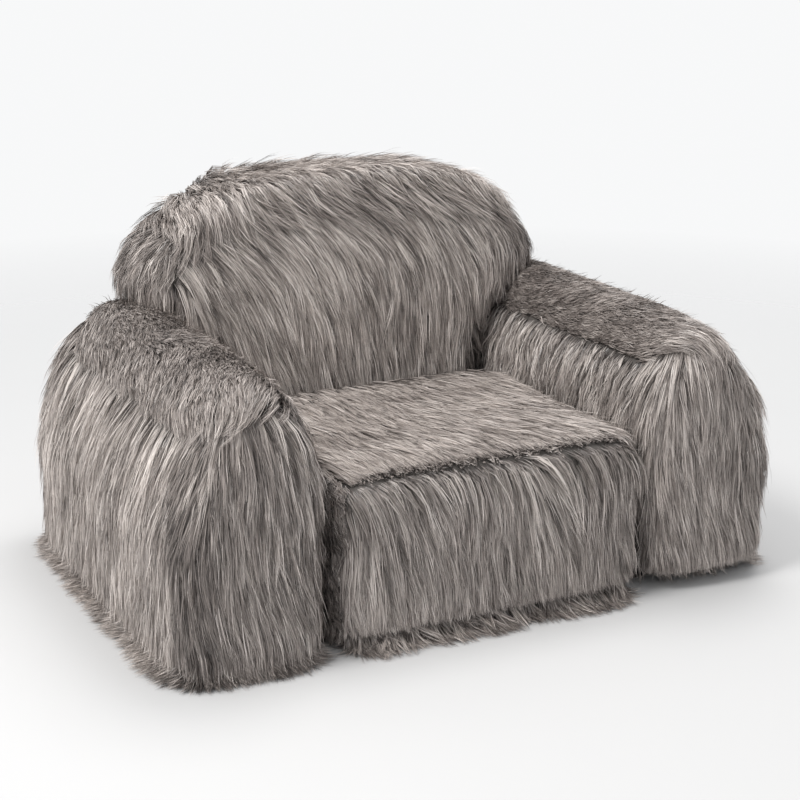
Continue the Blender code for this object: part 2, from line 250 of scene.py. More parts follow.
def makeNylonFinish(name):
    # the separate loops of the coil show as ridges across it
    finish = Finish(name)
    place = finish.place()
    loops = finish.node("ShaderNodeTexWave", {"bands_direction": "X"}, {"Vector": place, "Scale": 130.0})
    ridge = Wire(finish, loops.socket.node.outputs[1])
    tone = finish.noise(place, 90.0)
    colour = finish.mix(0.6 * ridge + 0.4 * tone, (0.03, 0.029, 0.028, 1.0), (0.11, 0.105, 0.1, 1.0))
    return finish.set(Base_Color=colour, Roughness=0.38 + 0.15 * tone,
                      Normal=finish.bump(ridge, 0.7, 0.0006))


pileMaterial = makePileFinish("pile_fibre", pileFinish)
backingMaterial = makeWovenFinish("pile_backing", backingFinish)
liningMaterial = makeWovenFinish("lining_cloth", liningFinish)
bagMaterial = makeWovenFinish("bag_cloth", bagFinish, threads=1400.0)
foamMaterial = makeFoamFinish("shredded_foam", foamFinish)
baseMaterial = makeWovenFinish("base_cloth", baseFinish, threads=500.0, depth=0.0008)
tapeMaterial = makeWovenFinish("zip_tape_cloth", tapeFinish, threads=1800.0)
nylonMaterial = makeNylonFinish("zip_nylon")
nickelMaterial = makeMetalFinish("zip_nickel")
print("finishes made")

# The forms of the four cushions, from the frame


def boxOf(*nodes):
    corners = [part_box(node) for node in nodes]
    low = np.min([np.array(corner[0]) for corner in corners], axis=0)
    high = np.max([np.array(corner[1]) for corner in corners], axis=0)
    return low, high


def armNodes(name):
    panels = [name + end for end in ("_top_panel", "_front_panel", "_outer_panel", "_inner_panel",
                                     "_rear_panel")]
    return panels + [name + "_bottom_lining"]


backNodes = ["back_front_panel", "back_rear_panel", "back_left_gusset", "back_right_gusset",
             "back_top_gusset", "back_bottom_lining"]
seatNodes = ["seat_top_panel", "seat_front_panel", "seat_lining"]
seatHalfWidth = boxOf(*seatNodes)[1][0]

sideOf = {"left": (0, -1), "right": (0, 1), "front": (1, -1), "rear": (1, 1), "bottom": (2, -1),
          "top": (2, 1)}

# the powers say how boxy a form is: 2 is an ellipse. cells are its casing's mesh, puff and most its stuffing
armForm = {"waist": 0.21, "top": 2.5, "bottom": 9.0, "depth": 7.0,
           "fur": ("left", "right", "front", "rear", "top"),
           "cells": (24, 66, 34), "puff": 3.6, "most": 0.026, "fill": 0.75}
cushions = {
    "seat": {"nodes": seatNodes, "waist": 0.165, "top": 9.0, "bottom": 10.0, "depth": 14.0,
             "fur": ("top", "front"),
             "cells": (42, 44, 24), "puff": 3.2, "most": 0.024, "fill": 0.7, "linings": ["seat_lining"]},
    "left_arm": {"nodes": armNodes("left_arm"), "linings": ["left_arm_bottom_lining"], **armForm},
    "right_arm": {"nodes": armNodes("right_arm"), "linings": ["right_arm_bottom_lining"], **armForm},
    "back": {"nodes": backNodes, "waist": 0.328, "top": 3.2, "bottom": 9.0, "depth": 7.0,
             "fur": ("left", "right", "front", "rear", "top"), "cells": (60, 24, 48), "puff": 3.6,
             "most": 0.026,
             "fill": 0.75, "linings": ["back_bottom_lining"]},
}
pileDepth = 0.021
liningDepth = 0.004
armTaper = 0.17
backFlare = {"start": 0.328, "end": 0.533, "power": 3.3, "domeFrom": 0.75}


def smoothStep(low, high, value):
    share = np.clip((value - low) / (high - low), 0.0, 1.0)
    return share * share * (3.0 - 2.0 * share)


def settleForms():
    for name, form in cushions.items():
        low, high = boxOf(*form["nodes"])
        form["name"] = name
        form["centre"] = np.array([(low[0] + high[0]) / 2, (low[1] + high[1]) / 2, form["waist"]])
        form["reach"] = {}
        for side, (axis, sign) in sideOf.items():
            deep = pileDepth if side in form["fur"] else liningDepth
            form["reach"][side] = abs((high if sign > 0 else low)[axis] - form["centre"][axis]) - deep
        form["high"] = high
        widest = np.abs(formPoints(form, latticeOf((20, 20, 40))[0])[:, 0] - form["centre"][0]).max()
        for side in ("left", "right") if name == "back" else ():
            form["reach"][side] *= (high[0] - pileDepth) / widest


def widthShare(form, height):
    # how the form widens or narrows with height, about the line x = pivot
    if form["name"] == "back":
        lowShare = (seatHalfWidth - pileDepth) / form["reach"]["right"]
        rise = np.clip((height - backFlare["start"]) / (backFlare["end"] - backFlare["start"]), 0.0, 1.0)
        share = lowShare + (1.0 - lowShare) * rise ** backFlare["power"]
        over = np.clip((height - form["waist"]) / form["reach"]["top"], 0.0, 0.999)
        dome = (1.0 - over ** form["top"]) ** (1 / form["top"])
        return share / dome ** (1.0 - smoothStep(backFlare["domeFrom"], 1.0, rise)), 0.0
    if form["name"] in ("left_arm", "right_arm"):
        side = 1.0 if form["name"] == "right_arm" else -1.0
        return 1.0 - armTaper * smoothStep(form["waist"], form["high"][2], height), side * seatHalfWidth
    return np.ones_like(height), 0.0


def formPoints(form, cube, extra=0.0):
    across = np.where(cube[:, 2] > 0, form["top"], form["bottom"])
    size = np.abs(cube) + 1e-9
    section = (size[:, 0] ** across + size[:, 2] ** across) ** (1 / across)
    scale = (section ** form["depth"] + size[:, 1] ** form["depth"]) ** (-1 / form["depth"])
    point = cube * scale[:, None]
    for side, (axis, sign) in sideOf.items():
        chosen = cube[:, axis] * sign > 0
        point[chosen, axis] *= form["reach"][side] + extra
    point += form["centre"]
    share, pivot = widthShare(form, point[:, 2])
    point[:, 0] = pivot + (point[:, 0] - pivot) * share
    return point


def formLevel(form, point):
    # 1 on the form's surface, less inside and more outside
    share, pivot = widthShare(form, point[:, 2])
    local = point - form["centre"]
    local[:, 0] = pivot + (point[:, 0] - pivot) / share - form["centre"][0]
    across = np.where(local[:, 2] > 0, form["top"], form["bottom"])
    for side, (axis, sign) in sideOf.items():
        chosen = local[:, axis] * sign > 0
        local[chosen, axis] /= form["reach"][side]
    size = np.abs(local) + 1e-9
    section = (size[:, 0] ** across + size[:, 2] ** across) ** (1 / across)
    return (section ** form["depth"] + size[:, 1] ** form["depth"]) ** (1 / form["depth"])


def heightAndNormal(form, point, step=0.002):
    level = formLevel(form, point)
    slope = np.stack([(formLevel(form, point + step * axis) - level) / step for axis in np.eye(3)], axis=1)
    steep = np.linalg.norm(slope, axis=1) + 1e-9
    return (level - 1.0) / steep, slope / steep[:, None]


def unit(vectors):
    return vectors / (np.linalg.norm(vectors, axis=-1, keepdims=True) + 1e-12)


def ripple(point, seed, wavelength):
    # a smooth random field over space, from about -1 to 1
    draw = np.random.default_rng(seed)
    total = np.zeros(len(point))
    waves = 6
    for _ in range(waves):
        heading = unit(draw.normal(size=3)) * 2 * math.pi / (wavelength * draw.uniform(0.7, 1.5))
        total += np.sin(point @ heading + draw.uniform(0, 2 * math.pi))
    return total / waves ** 0.5 / 1.4


# The casings: sewn cloth blown up by its stuffing, with the seams held


def latticeOf(cells):
    # the vertices of a subdivided cube's surface, its faces with their sides, and each side's grid
    numbers = {}
    cube = []
    faces = []
    faceSides = []
    grids = {}
    for side, (axis, sign) in sideOf.items():
        others = [other for other in range(3) if other != axis]
        columns, rows = cells[others[0]], cells[others[1]]
        grid = np.empty((columns + 1, rows + 1), int)
        for column in range(columns + 1):
            for row in range(rows + 1):
                spot = [0, 0, 0]
                spot[axis] = cells[axis] if sign > 0 else 0
                spot[others[0]] = column
                spot[others[1]] = row
                key = tuple(spot)
                if key not in numbers:
                    numbers[key] = len(cube)
                    cube.append([2.0 * spot[a] / cells[a] - 1.0 for a in range(3)])
                grid[column, row] = numbers[key]
        turned = (sign > 0) == (axis != 1)
        for column in range(columns):
            for row in range(rows):
                face = [grid[column, row], grid[column + 1, row], grid[column + 1, row + 1],
                        grid[column, row + 1]]
                faces.append(face if turned else face[::-1])
                faceSides.append(side)
        grids[side] = grid
    return np.array(cube), faces, faceSides, grids


settleForms()
tapeBox = boxOf("zip_tape_upper", "zip_tape_lower")
zipMargin = 0.006


def byZip(point, margin=zipMargin):
    # 1 inside the opening for the zip on the back, 0 away from it
    low, high = tapeBox
    across = smoothStep(high[0] + margin + 0.004, high[0] + margin, np.abs(point[:, 0]))
    middle, half = (low[2] + high[2]) / 2, (high[2] - low[2]) / 2 + margin
    upright = smoothStep(half + 0.006, half, np.abs(point[:, 2] - middle))
    return across * upright * (point[:, 1] > low[1] - 0.05)


def newMesh(name, points, faces, material, smooth=True):
    mesh = bpy.data.meshes.new(name)
    mesh.from_pydata([tuple(point) for point in points], [], [tuple(face) for face in faces])
    mesh.update()
    piece = bpy.data.objects.new(name, mesh)
    bpy.context.scene.collection.objects.link(piece)
    mesh.materials.append(material)
    if smooth:
        mesh.shade_smooth()
    return piece


def readPoints(mesh):
    flat = np.empty(len(mesh.vertices) * 3, np.float32)
    mesh.vertices.foreach_get("co", flat)
    return flat.reshape(-1, 3).astype(float)


def readNormals(mesh):
    flat = np.empty(len(mesh.vertices) * 3, np.float32)
    mesh.vertex_normals.foreach_get("vector", flat)
    return flat.reshape(-1, 3).astype(float)


coverCloth = {"quality": 4, "mass": 0.4, "tension_stiffness": 18.0, "compression_stiffness": 8.0,
              "bending_stiffness": 0.6, "use_pressure": True, "vertex_group_mass": "seams"}
swellFrames = 20


def inflate(piece, seams, pressure, most):
    # blows the casing up with its seams pinned, then keeps each point within its travel
    before = readPoints(piece.data)
    pins = piece.vertex_groups.new(name="seams")
    pins.add([int(number) for number in seams], 1.0, "REPLACE")
    cloth = piece.modifiers.new("stuffing", "CLOTH")
    for setting, value in coverCloth.items():
        setattr(cloth.settings, setting, value)
    cloth.settings.uniform_pressure_force = pressure
    cloth.settings.effector_weights.gravity = 0.0
    cloth.collision_settings.use_collision = False
    cloth.point_cache.frame_start = 1
    cloth.point_cache.frame_end = swellFrames
    scene = bpy.context.scene
    for number in range(1, swellFrames + 1):
        scene.frame_set(number)
    graph = bpy.context.evaluated_depsgraph_get()
    after = readPoints(piece.evaluated_get(graph).data)
    piece.modifiers.remove(cloth)
    scene.frame_set(1)
    move = after - before
    length = np.linalg.norm(move, axis=1, keepdims=True)
    move *= np.minimum(1.0, most / (length + 1e-9))
    piece.data.vertices.foreach_set("co", (before + move).astype(np.float32).ravel())
    piece.data.update()
    return float(length.max())


casingShape = {"seamTuck": 0.004, "tuckReach": 0.05, "crown": 0.006, "crownReach": 0.25, "above": 0.004,
               "underZip": 0.006, "zipMargin": 0.012, "floorGap": 0.007}
bagShape = {"inset": 0.005, "crease": 0.0022, "creaseLength": 0.055, "zipWidth": 0.016, "zipRise": 0.0012}
fillingShape = {"inset": 0.011, "lump": 0.004, "lumpLength": 0.028}


def makeInside(form, points, normals, faces):
    # the thin bag inside the casing, creased and with its own zip strip, and the crumbly filling in the bag
    name = form["name"]
    crease = -np.abs(ripple(points, 31, bagShape["creaseLength"])) * bagShape["crease"]
    bagPoints = points - normals * (bagShape["inset"] - crease)[:, None]
    bag = newMesh(name + "_inner_bag_cloth", bagPoints, faces, bagMaterial)
    onZip = (np.abs(points[:, 2] - form["waist"]) < bagShape["zipWidth"]) & (normals[:, 1] > 0.8)
    onZip &= np.abs(points[:, 0] - form["centre"][0]) < 0.6 * form["reach"]["right"]
    bag.data.materials.append(tapeMaterial)
    inStrip = np.array([onZip[face].all() for face in faces])
    bag.data.polygons.foreach_set("material_index", inStrip.astype(np.int32))
    bagPoints[onZip] += normals[onZip] * bagShape["zipRise"]
    bag.data.vertices.foreach_set("co", bagPoints.astype(np.float32).ravel())
    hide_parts(name + "_inner_bag", name + "_bag_zip")
    lump = ripple(points, 32, fillingShape["lumpLength"]) * fillingShape["lump"]
    filling = newMesh(name + "_foam_crumb", points - normals * (fillingShape["inset"] - lump)[:, None],
                      faces, foamMaterial)
    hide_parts(name + "_filling")
    for inner in (bag, filling):
        inner.data.update()
        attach(inner, "root")


def makeCasing(form):
    cube, faces, sideOfFace, grids = latticeOf(form["cells"])
    points = formPoints(form, cube)
    piece = newMesh(form["name"] + "_casing", points, faces, backingMaterial)
    seams = np.flatnonzero((np.abs(cube) > 0.999).sum(axis=1) >= 2)
    swell = inflate(piece, seams, form["puff"], form["most"])
    print(form["name"], "casing inflated, farthest move", round(swell, 4))
    # the seams are drawn in by their stitching, and the sides crown between them
    nearSeam = np.sort(1.0 - np.abs(cube), axis=1)[:, 1]
    crown = casingShape["crown"] * (1 - np.exp(-nearSeam / casingShape["crownReach"]))
    tuck = casingShape["seamTuck"] * np.exp(-nearSeam / casingShape["tuckReach"])
    points = readPoints(piece.data) + readNormals(piece.data) * (crown - tuck)[:, None]
    height, normal = heightAndNormal(form, points)
    byTape = byZip(points, casingShape["zipMargin"]) if form["name"] == "back" else 0.0
    room = casingShape["above"] - casingShape["underZip"] * byTape
    points -= normal * np.clip(height - room, 0.0, None)[:, None]
    points[:, 2] = np.maximum(points[:, 2], casingShape["floorGap"])
    piece.data.vertices.foreach_set("co", points.astype(np.float32).ravel())
    piece.data.update()
    lined = [number for number, face in enumerate(faces) if sideOfFace[number] not in form["fur"]]
    piece.data.materials.append(liningMaterial)
    slots = np.zeros(len(faces), np.int32)
    slots[lined] = 1
    piece.data.polygons.foreach_set("material_index", slots)
    makeInside(form, points, readNormals(piece.data), faces)
    points, normals = readPoints(piece.data), readNormals(piece.data)
    form["grids"] = {side: (points[grid], normals[grid]) for side, grid in grids.items()}
    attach(piece, "root")
    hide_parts(*form["linings"])
    return piece


for cushion in cushions.values():
    makeCasing(cushion)
print("casings, bags and fillings made")

# The pile

toneColumns = 48
floorClearance = 0.003


def sampleSide(form, side, count, draw, weight):
    # roots spread evenly by area over one side of a casing, and their normals
    spots, normals = form["grids"][side]
    across = spots[1:, :-1] - spots[:-1, :-1]
    along = spots[:-1, 1:] - spots[:-1, :-1]
    area = np.linalg.norm(np.cross(across, along), axis=2)
    middle = (spots[1:, 1:] + spots[:-1, :-1]) / 2
    share = area * weight(middle.reshape(-1, 3)).reshape(area.shape)
    total = np.cumsum(share.ravel())
    pick = (np.arange(count) + draw.uniform(size=count)) / count * total[-1]
    cell = np.searchsorted(total, pick)
    column, row = np.unravel_index(np.minimum(cell, share.size - 1), share.shape)
    u = draw.uniform(size=(count, 1))
    v = draw.uniform(size=(count, 1))

    def blend(values):
        low = values[column, row] * (1 - u) + values[column + 1, row] * u
        high = values[column, row + 1] * (1 - u) + values[column + 1, row + 1] * u
        return low * (1 - v) + high * v

    return blend(spots), unit(blend(normals))


def combed(direction, normal):
    flat = direction - normal * (direction * normal).sum(axis=1, keepdims=True)
    return unit(flat)


growth = {"rootDepth": 0.002, "wanderLength": 0.11, "liftFall": 1.2, "firstRise": 0.35, "laterRise": 0.75,
          "floorPush": 0.6, "mostPush": 0.03}


def growGuides(form, roots, normals, settings, length, lift, height, draw):
    # the middle line of each lock: it leaves the skin at its lift, then lies down along the comb
    count = len(roots)
    steps = settings["segments"]
    path = np.empty((steps + 1, count, 3))
    path[0] = roots - normals * growth["rootDepth"]
    here = path[0].copy()
    wander = np.stack([ripple(roots, 11 + axis, growth["wanderLength"]) for axis in range(3)], axis=1)
    jitter = draw.normal(size=(count, 3)) * settings["jitter"]
    for step in range(1, steps + 1):
        share = step / steps
        level, up = heightAndNormal(form, here)
        direction = settings["comb"](here, up) + settings["wander"] * wander + jitter
        under = smoothStep(0.05, -0.45, up[:, 2])[:, None] * settings["hang"]
        along = combed(direction, up) if settings["hang"] else unit(direction)
        flat = unit(along * (1.0 - under) + np.array([0.0, 0.0, -1.0]) * under)
        rise = lift * (1.0 - share) ** growth["liftFall"]
        heading = unit(flat * np.cos(rise)[:, None] + up * np.sin(rise)[:, None])
        here = here + heading * (length / steps)[:, None]
        level, up = heightAndNormal(form, here)
        least = height * min(1.0, growth["firstRise"] + growth["laterRise"] * share)
        here += up * np.clip(least - level, 0.0, None)[:, None]
        sunk = floorClearance - here[:, 2]
        here[:, 2] = np.maximum(here[:, 2], floorClearance)
        push = growth["floorPush"] * np.clip(sunk, 0.0, growth["mostPush"])
        here += combed(up, np.array([[0.0, 0.0, 1.0]])) * push[:, None]
        path[step] = here
    return path


strandShape = {"at": (0.0, 0.25, 0.5, 0.78, 1.0), "width": (0.75, 1.0, 0.92, 0.62, 0.0), "twist": 0.55,
               "turn": 0.5}


def buildPile(name, path, outward, widths, tones, draw):
    # each strand is a tapering ribbon that ends in a point
    points, count = path.shape[:2]
    tangent = unit(np.gradient(path, axis=0))
    side = unit(np.cross(tangent, outward[None]))
    facing = np.cross(side, tangent)
    twist = draw.normal(size=count) * strandShape["twist"]
    turn = np.linspace(0.0, 1.0, points)[:, None] * draw.normal(size=count) * strandShape["turn"] + twist
    blade = side * np.cos(turn)[..., None] + facing * np.sin(turn)[..., None]
    taper = np.interp(np.linspace(0, 1, points), strandShape["at"], strandShape["width"])[:, None, None]
    half = blade * taper * (widths / 2)[None, :, None]
    left = path - half
    right = path + half
    verts = np.concatenate([np.stack([left[:-1], right[:-1]], axis=1).reshape(-1, count, 3), path[-1:]])
    perStrand = 2 * points - 1
    verts = verts.transpose(1, 0, 2).reshape(-1, 3)
    quads = np.array([[2 * k, 2 * k + 1, 2 * k + 3, 2 * k + 2] for k in range(points - 2)]).ravel()
    tip = np.array([2 * points - 4, 2 * points - 3, 2 * points - 2])
    pattern = np.concatenate([quads, tip])
    corners = (pattern[None] + perStrand * np.arange(count)[:, None]).ravel()
    sizes = np.tile(np.array([4] * (points - 2) + [3]), count)
    starts = np.concatenate([[0], np.cumsum(sizes)[:-1]])
    mesh = bpy.data.meshes.new(name)
    mesh.vertices.add(len(verts))
    mesh.vertices.foreach_set("co", verts.astype(np.float32).ravel())
    mesh.loops.add(len(corners))
    mesh.loops.foreach_set("vertex_index", corners.astype(np.int32))
    mesh.polygons.add(len(sizes))
    mesh.polygons.foreach_set("loop_start", starts.astype(np.int32))
    mesh.polygons.foreach_set("use_smooth", np.ones(len(sizes), bool))
    column = np.clip((tones * toneColumns).astype(int), 0, toneColumns - 1)
    along = np.linspace(0.02, 0.98, points)
    localU = np.array([0.15, 0.85] * (points - 1) + [0.5])
    localV = np.concatenate([np.repeat(along[:-1], 2), along[-1:]])
    spread = (column[:, None] + localU[pattern][None]) / toneColumns
    rise = np.broadcast_to(localV[pattern][None], spread.shape)
    uv = mesh.uv_layers.new(name="OFBake")
    uv.data.foreach_set("uv", np.stack([spread, rise], axis=2).astype(np.float32).ravel())
    mesh.update()
    mesh.validate()
    piece = bpy.data.objects.new(name, mesh)
    bpy.context.scene.collection.objects.link(piece)
    mesh.materials.append(pileMaterial)
    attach(piece, "root")
    return piece


def everywhere(point):
    return np.ones(len(point))


# each pair is the least and the most of a share, apart from wild, in metres
lockShape = {"size": (0.75, 1.15), "lift": (0.7, 1.3), "height": (0.3, 1.0), "grip": (0.5, 1.15),
             "trim": (0.72, 1.0), "width": (0.7, 1.3), "wild": (0.004, 0.018), "patchy": 0.15,
             "patch": 0.2, "clouds": 0.09, "cloud": 0.16}


def growLocks(name, form, side, settings, seed):
    draw = np.random.default_rng(seed)
    perLock = settings["perLock"]
    locks = settings["strands"] // perLock
    roots, normals = sampleSide(form, side, locks, draw, settings["weight"])
    patchy = 1 + lockShape["patchy"] * ripple(roots, 5, lockShape["patch"])
    size = draw.uniform(*lockShape["size"], locks) * patchy
    length = np.minimum(settings["length"] * size, settings["cap"](roots))
    lift = np.radians(settings["lift"]) * draw.uniform(*lockShape["lift"], locks)
    height = settings["height"] * draw.uniform(*lockShape["height"], locks)
    guides = growGuides(form, roots, normals, settings, length, lift, height, draw)
    lock = np.repeat(np.arange(locks), perLock)
    count = len(lock)
    angle = draw.uniform(0, 2 * math.pi, count)
    radius = settings["spread"] * np.sqrt(draw.uniform(size=count))
    flow = unit(guides[1] - guides[0])
    sideways = unit(np.cross(flow, normals))
    backward = np.cross(normals, sideways)
    offset = sideways[lock] * (radius * np.cos(angle))[:, None]
    offset += backward[lock] * (radius * np.sin(angle))[:, None]
    share = np.linspace(0, 1, settings["segments"] + 1)[:, None, None]
    grip = (settings["clump"] * draw.uniform(*lockShape["grip"], count))[None, :, None]
    path = guides[:, lock] + offset[None] * (1 - grip * share ** 1.3)
    path += (draw.normal(size=(count, 3)) * settings["stray"])[None] * share ** 1.5
    phase = draw.uniform(0, 2 * math.pi, locks)[lock] + draw.normal(size=count) * 0.5
    wave = np.sin(2 * math.pi * settings["waves"] * share[..., 0] + phase[None]) - np.sin(phase)[None]
    path += (settings["curl"] * wave * share[..., 0])[..., None] * sideways[lock][None]
    path = path[0] + (path - path[0]) * draw.uniform(*lockShape["trim"], count)[None, :, None]
    wild = (draw.uniform(size=count) < settings["flyaway"]) * draw.uniform(*lockShape["wild"], count)
    path += wild[None, :, None] * share ** 2 * normals[lock][None]
    path[..., 2] = np.maximum(path[..., 2], floorClearance * 0.7)
    keepInBox(path)
    clouds = lockShape["clouds"] * ripple(roots, 3, lockShape["cloud"])
    tones = settings["tone"] + settings["shade"](roots)[lock] + clouds[lock]
    tones += settings["lockContrast"] * draw.normal(size=locks)[lock]
    tones += settings["strandContrast"] * draw.normal(size=count)
    widths = settings["width"] * draw.uniform(*lockShape["width"], count)
    return buildPile(name, path, normals[lock], widths, np.clip(tones, 0.0, 0.999), draw)


boxShare = 0.026
boxMargin = 0.008


def keepInBox(path):
    low, high = np.array(cadBox[0]), np.array(cadBox[1])
    room = (high - low) * boxShare + boxMargin
    np.clip(path, low - room, high + room, out=path)


# How the pile is combed on each panel. A comb gives a direction for each point, and up is the normal there.


def towards(x, y, z):
    def comb(point, up):
        return np.broadcast_to(np.array([x, y, z]), point.shape)
    return comb


def column(*values):
    return np.stack([np.broadcast_to(value, values[0].shape) for value in values], axis=1)


def nearFloor(point, height=0.06):
    return smoothStep(height, 0.0, point[:, 2])


def combBackFront(point, up):
    high = smoothStep(0.42, 0.66, point[:, 2])
    right = 0.12 + 0.75 * high - 1.0 * point[:, 0] * (1 - 0.6 * high)
    return column(right, 0.0, -1.0)


def combBackTop(point, up):
    parting = -0.27
    outward = 2 * smoothStep(parting - 0.22, parting + 0.22, point[:, 0]) - 1
    ahead = 0.35 + 0.95 * smoothStep(0.38, 0.24, point[:, 1])
    return column(0.55 * outward, -ahead, -0.35)


def combSeatTop(point, up):
    return column(0.22 + 0.35 * ripple(point, 41, 0.5), -1.0, 0.0)


def combSeatFront(point, up):
    high = smoothStep(0.17, 0.31, point[:, 2])
    low = nearFloor(point, 0.07)
    return column(0.10 + 0.28 * high + 0.2 * low, -0.4 * low, -1.0)


def combArmFront(point, up):
    low = smoothStep(0.24, 0.02, point[:, 2])
    flare = nearFloor(point)
    return column(0.02 + 0.42 * low, -0.3 * flare, -1.0)


def combDown(point, up):
    return np.array([[0.0, -0.10, -1.0]]) + up * 0.3 * nearFloor(point)[:, None]


def combFringe(point, up):
    # down and away from the chair, along the floor
    out = up * np.array([1.0, 1.0, 0.0])
    underSeat = (np.abs(point[:, 0]) < seatHalfWidth) & (point[:, 1] < 0.0)
    loose = 0.20 * ripple(point, 51, 0.09) + 0.65 * underSeat
    return np.array([[0.30, 0.0, -1.0]]) + out * loose[:, None]


def combLeftTop(point, up):
    inner = smoothStep(-0.40, -0.33, point[:, 0])
    outer = smoothStep(-0.46, -0.52, point[:, 0])
    swirl = 0.35 * ripple(point, 21, 0.18)
    sideways = -0.35 + 1.1 * inner - 0.9 * outer + swirl
    return column(sideways, -1.0 + 0.5 * inner + 0.3 * outer, 0.2 * ripple(point, 22, 0.12))


def combRightTop(point, up):
    return column(0.30 + 0.35 * ripple(point, 23, 0.22), -1.0, 0.15 * ripple(point, 24, 0.12))


def combSeatSide(turn):
    def comb(point, up):
        across = turn * 0.5 + 0.6 * ripple(point, 25, 0.07)
        return column(across, -0.9 + 0.5 * ripple(point, 26, 0.09), -0.7)
    return comb


# Where pile is worth growing, how long it may be, and where shade is painted into its tone, darker or
# lighter


def aboveSeat(point):
    return 0.10 + 0.90 * smoothStep(0.26, 0.31, point[:, 2])


def overSeatAndAhead(point):
    overSeat = smoothStep(0.25, 0.30, point[:, 2]) * smoothStep(0.24, 0.18, point[:, 1])
    return 0.06 + 0.94 * np.maximum(overSeat, smoothStep(-0.34, -0.40, point[:, 1]))


def besideArms(point):
    # the back is hidden by the arms up to their tops
    return 0.10 + 0.90 * smoothStep(0.36, 0.42, point[:, 2])


def frontEdge(point):
    return 0.05 + 0.95 * smoothStep(-0.26, -0.34, point[:, 1])


def aroundZip(point):
    return 1.0 - byZip(point)


def anyLength(point):
    return np.full(len(point), 1.0)


def stopAtFrontSeam(point):
    seam = cushions["seat"]["grids"]["top"][0][:, 0, 1].mean()
    return np.maximum((point[:, 1] - seam) * 1.05 + 0.006, 0.008)


lowerSeam = 0.036


def stopAtLowerSeam(point):
    over = point[:, 2] - lowerSeam
    return np.where(over > 0, over + 0.010, 0.046)


def stopAtZip(point):
    low, high = tapeBox
    over = point[:, 2] - high[2]
    above = (np.abs(point[:, 0]) < high[0] + 0.02) & (over > -0.02) & (point[:, 2] < 0.3)
    return np.where(above, np.maximum(over - 0.002, 0.006), 1.0)


def lowStrip(point):
    return smoothStep(0.034, 0.028, point[:, 2]) * smoothStep(0.004, 0.009, point[:, 2]) + 1e-6


def stopAtFloor(point):
    return point[:, 2] + 0.012 + 0.020 * smoothStep(0.30, 0.50, point[:, 0])


def offLowerSeam(point):
    return smoothStep(0.004, 0.008, np.abs(point[:, 2] - lowerSeam)) + 1e-6


def evenTone(point):
    return np.zeros(len(point))


def offPatch(point):
    # 0 on the short patch of an arm's top, painted dark as the shade seen into its end-on pile, 1 at the
    # panel's edges
    return np.maximum(smoothStep(0.48, 0.545, np.abs(point[:, 0])), smoothStep(-0.27, -0.35, point[:, 1]))


def longOffPatch(point):
    return 0.042 + 0.062 * offPatch(point)


# lifts the tone towards the inner side and rear of the left arm's top, and everywhere off the patch that is
# painted dark as shade
def lightInside(point):
    inner = 0.24 * smoothStep(-0.40, -0.33, point[:, 0]) + 0.10 * smoothStep(0.1, 0.35, point[:, 1])
    return np.maximum(inner, 0.20 * offPatch(point))


# painted shade: thin diagonal dark lines on the back's front, where the gaps between tufts fall in shade,
# over a slight lift of tone
def paintedShadeLines(point):
    across = (point[:, 0] + 0.45 * point[:, 2]) / 0.13 + 0.45 * ripple(point, 61, 0.2)
    shadeLine = smoothStep(0.93, 1.0, np.abs(np.sin(np.pi * across)))
    return 0.03 - 0.24 * shadeLine * smoothStep(0.36, 0.50, point[:, 2])


# painted shade along the outer edge of the left arm's front panel, where the pile parts at its seam with the
# outer panel
def paintedEdgeShade(point):
    return -0.24 * smoothStep(0.505, 0.545, np.abs(point[:, 0]))


# lifts the tone off the right arm top's patch, which is painted dark as shade, and towards the arm's inner
# side
def lightAtEnds(point):
    return 0.18 * offPatch(point) + 0.08 * smoothStep(0.40, 0.34, np.abs(point[:, 0]))


# strands counts strands, and lengths are in metres. Each sort of pile starts from the longPile values.
longPile = {"strands": 20000, "segments": 4, "length": 0.115, "lift": 27, "height": 0.015, "perLock": 12,
            "spread": 0.0075, "clump": 0.80, "stray": 0.0022, "waves": 0.8, "curl": 0.0028, "tone": 0.57,
            "width": 0.00125, "flyaway": 0.03, "jitter": 0.07, "wander": 0.17, "hang": 1.0,
            "lockContrast": 0.21, "strandContrast": 0.13, "weight": everywhere, "cap": anyLength,
            "shade": evenTone}
underPile = {"segments": 3, "length": 0.042, "lift": 20, "height": 0.005, "perLock": 6, "clump": 0.45,
             "tone": 0.24, "width": 0.0021, "flyaway": 0.0}
topLocks = {"length": 0.125, "height": 0.021, "perLock": 12, "spread": 0.0055, "clump": 0.9, "tone": 0.68,
            "flyaway": 0.06, "width": 0.0012, "lockContrast": 0.18}
fringe = {"strands": 2400, "length": 0.046, "lift": 16, "height": 0.004, "perLock": 9, "spread": 0.006,
          "clump": 0.85, "curl": 0.004, "waves": 0.7, "tone": 0.56, "wander": 0.6, "jitter": 0.35,
          "hang": 0.0, "comb": combFringe, "weight": lowStrip, "cap": stopAtFloor}
ownFringe = {
    "seat": {"strands": 8000, "length": 0.072, "lift": 42, "wander": 0.4, "cap": anyLength},
    "back": {"strands": 4800},
}
fringedSides = (("seat", "front"), ("left_arm", "front"), ("left_arm", "left"), ("left_arm", "rear"),
                ("back", "rear"), ("right_arm", "front"), ("right_arm", "right"), ("right_arm", "rear"))
curly = {"length": 0.085, "lift": 50, "curl": 0.007, "waves": 1.15}
edgePile = {"strands": 6000, "length": 0.036, "lift": 40, "height": 0.008, "curl": 0.005, "waves": 1.2,
            "tone": 0.36, "weight": frontEdge}
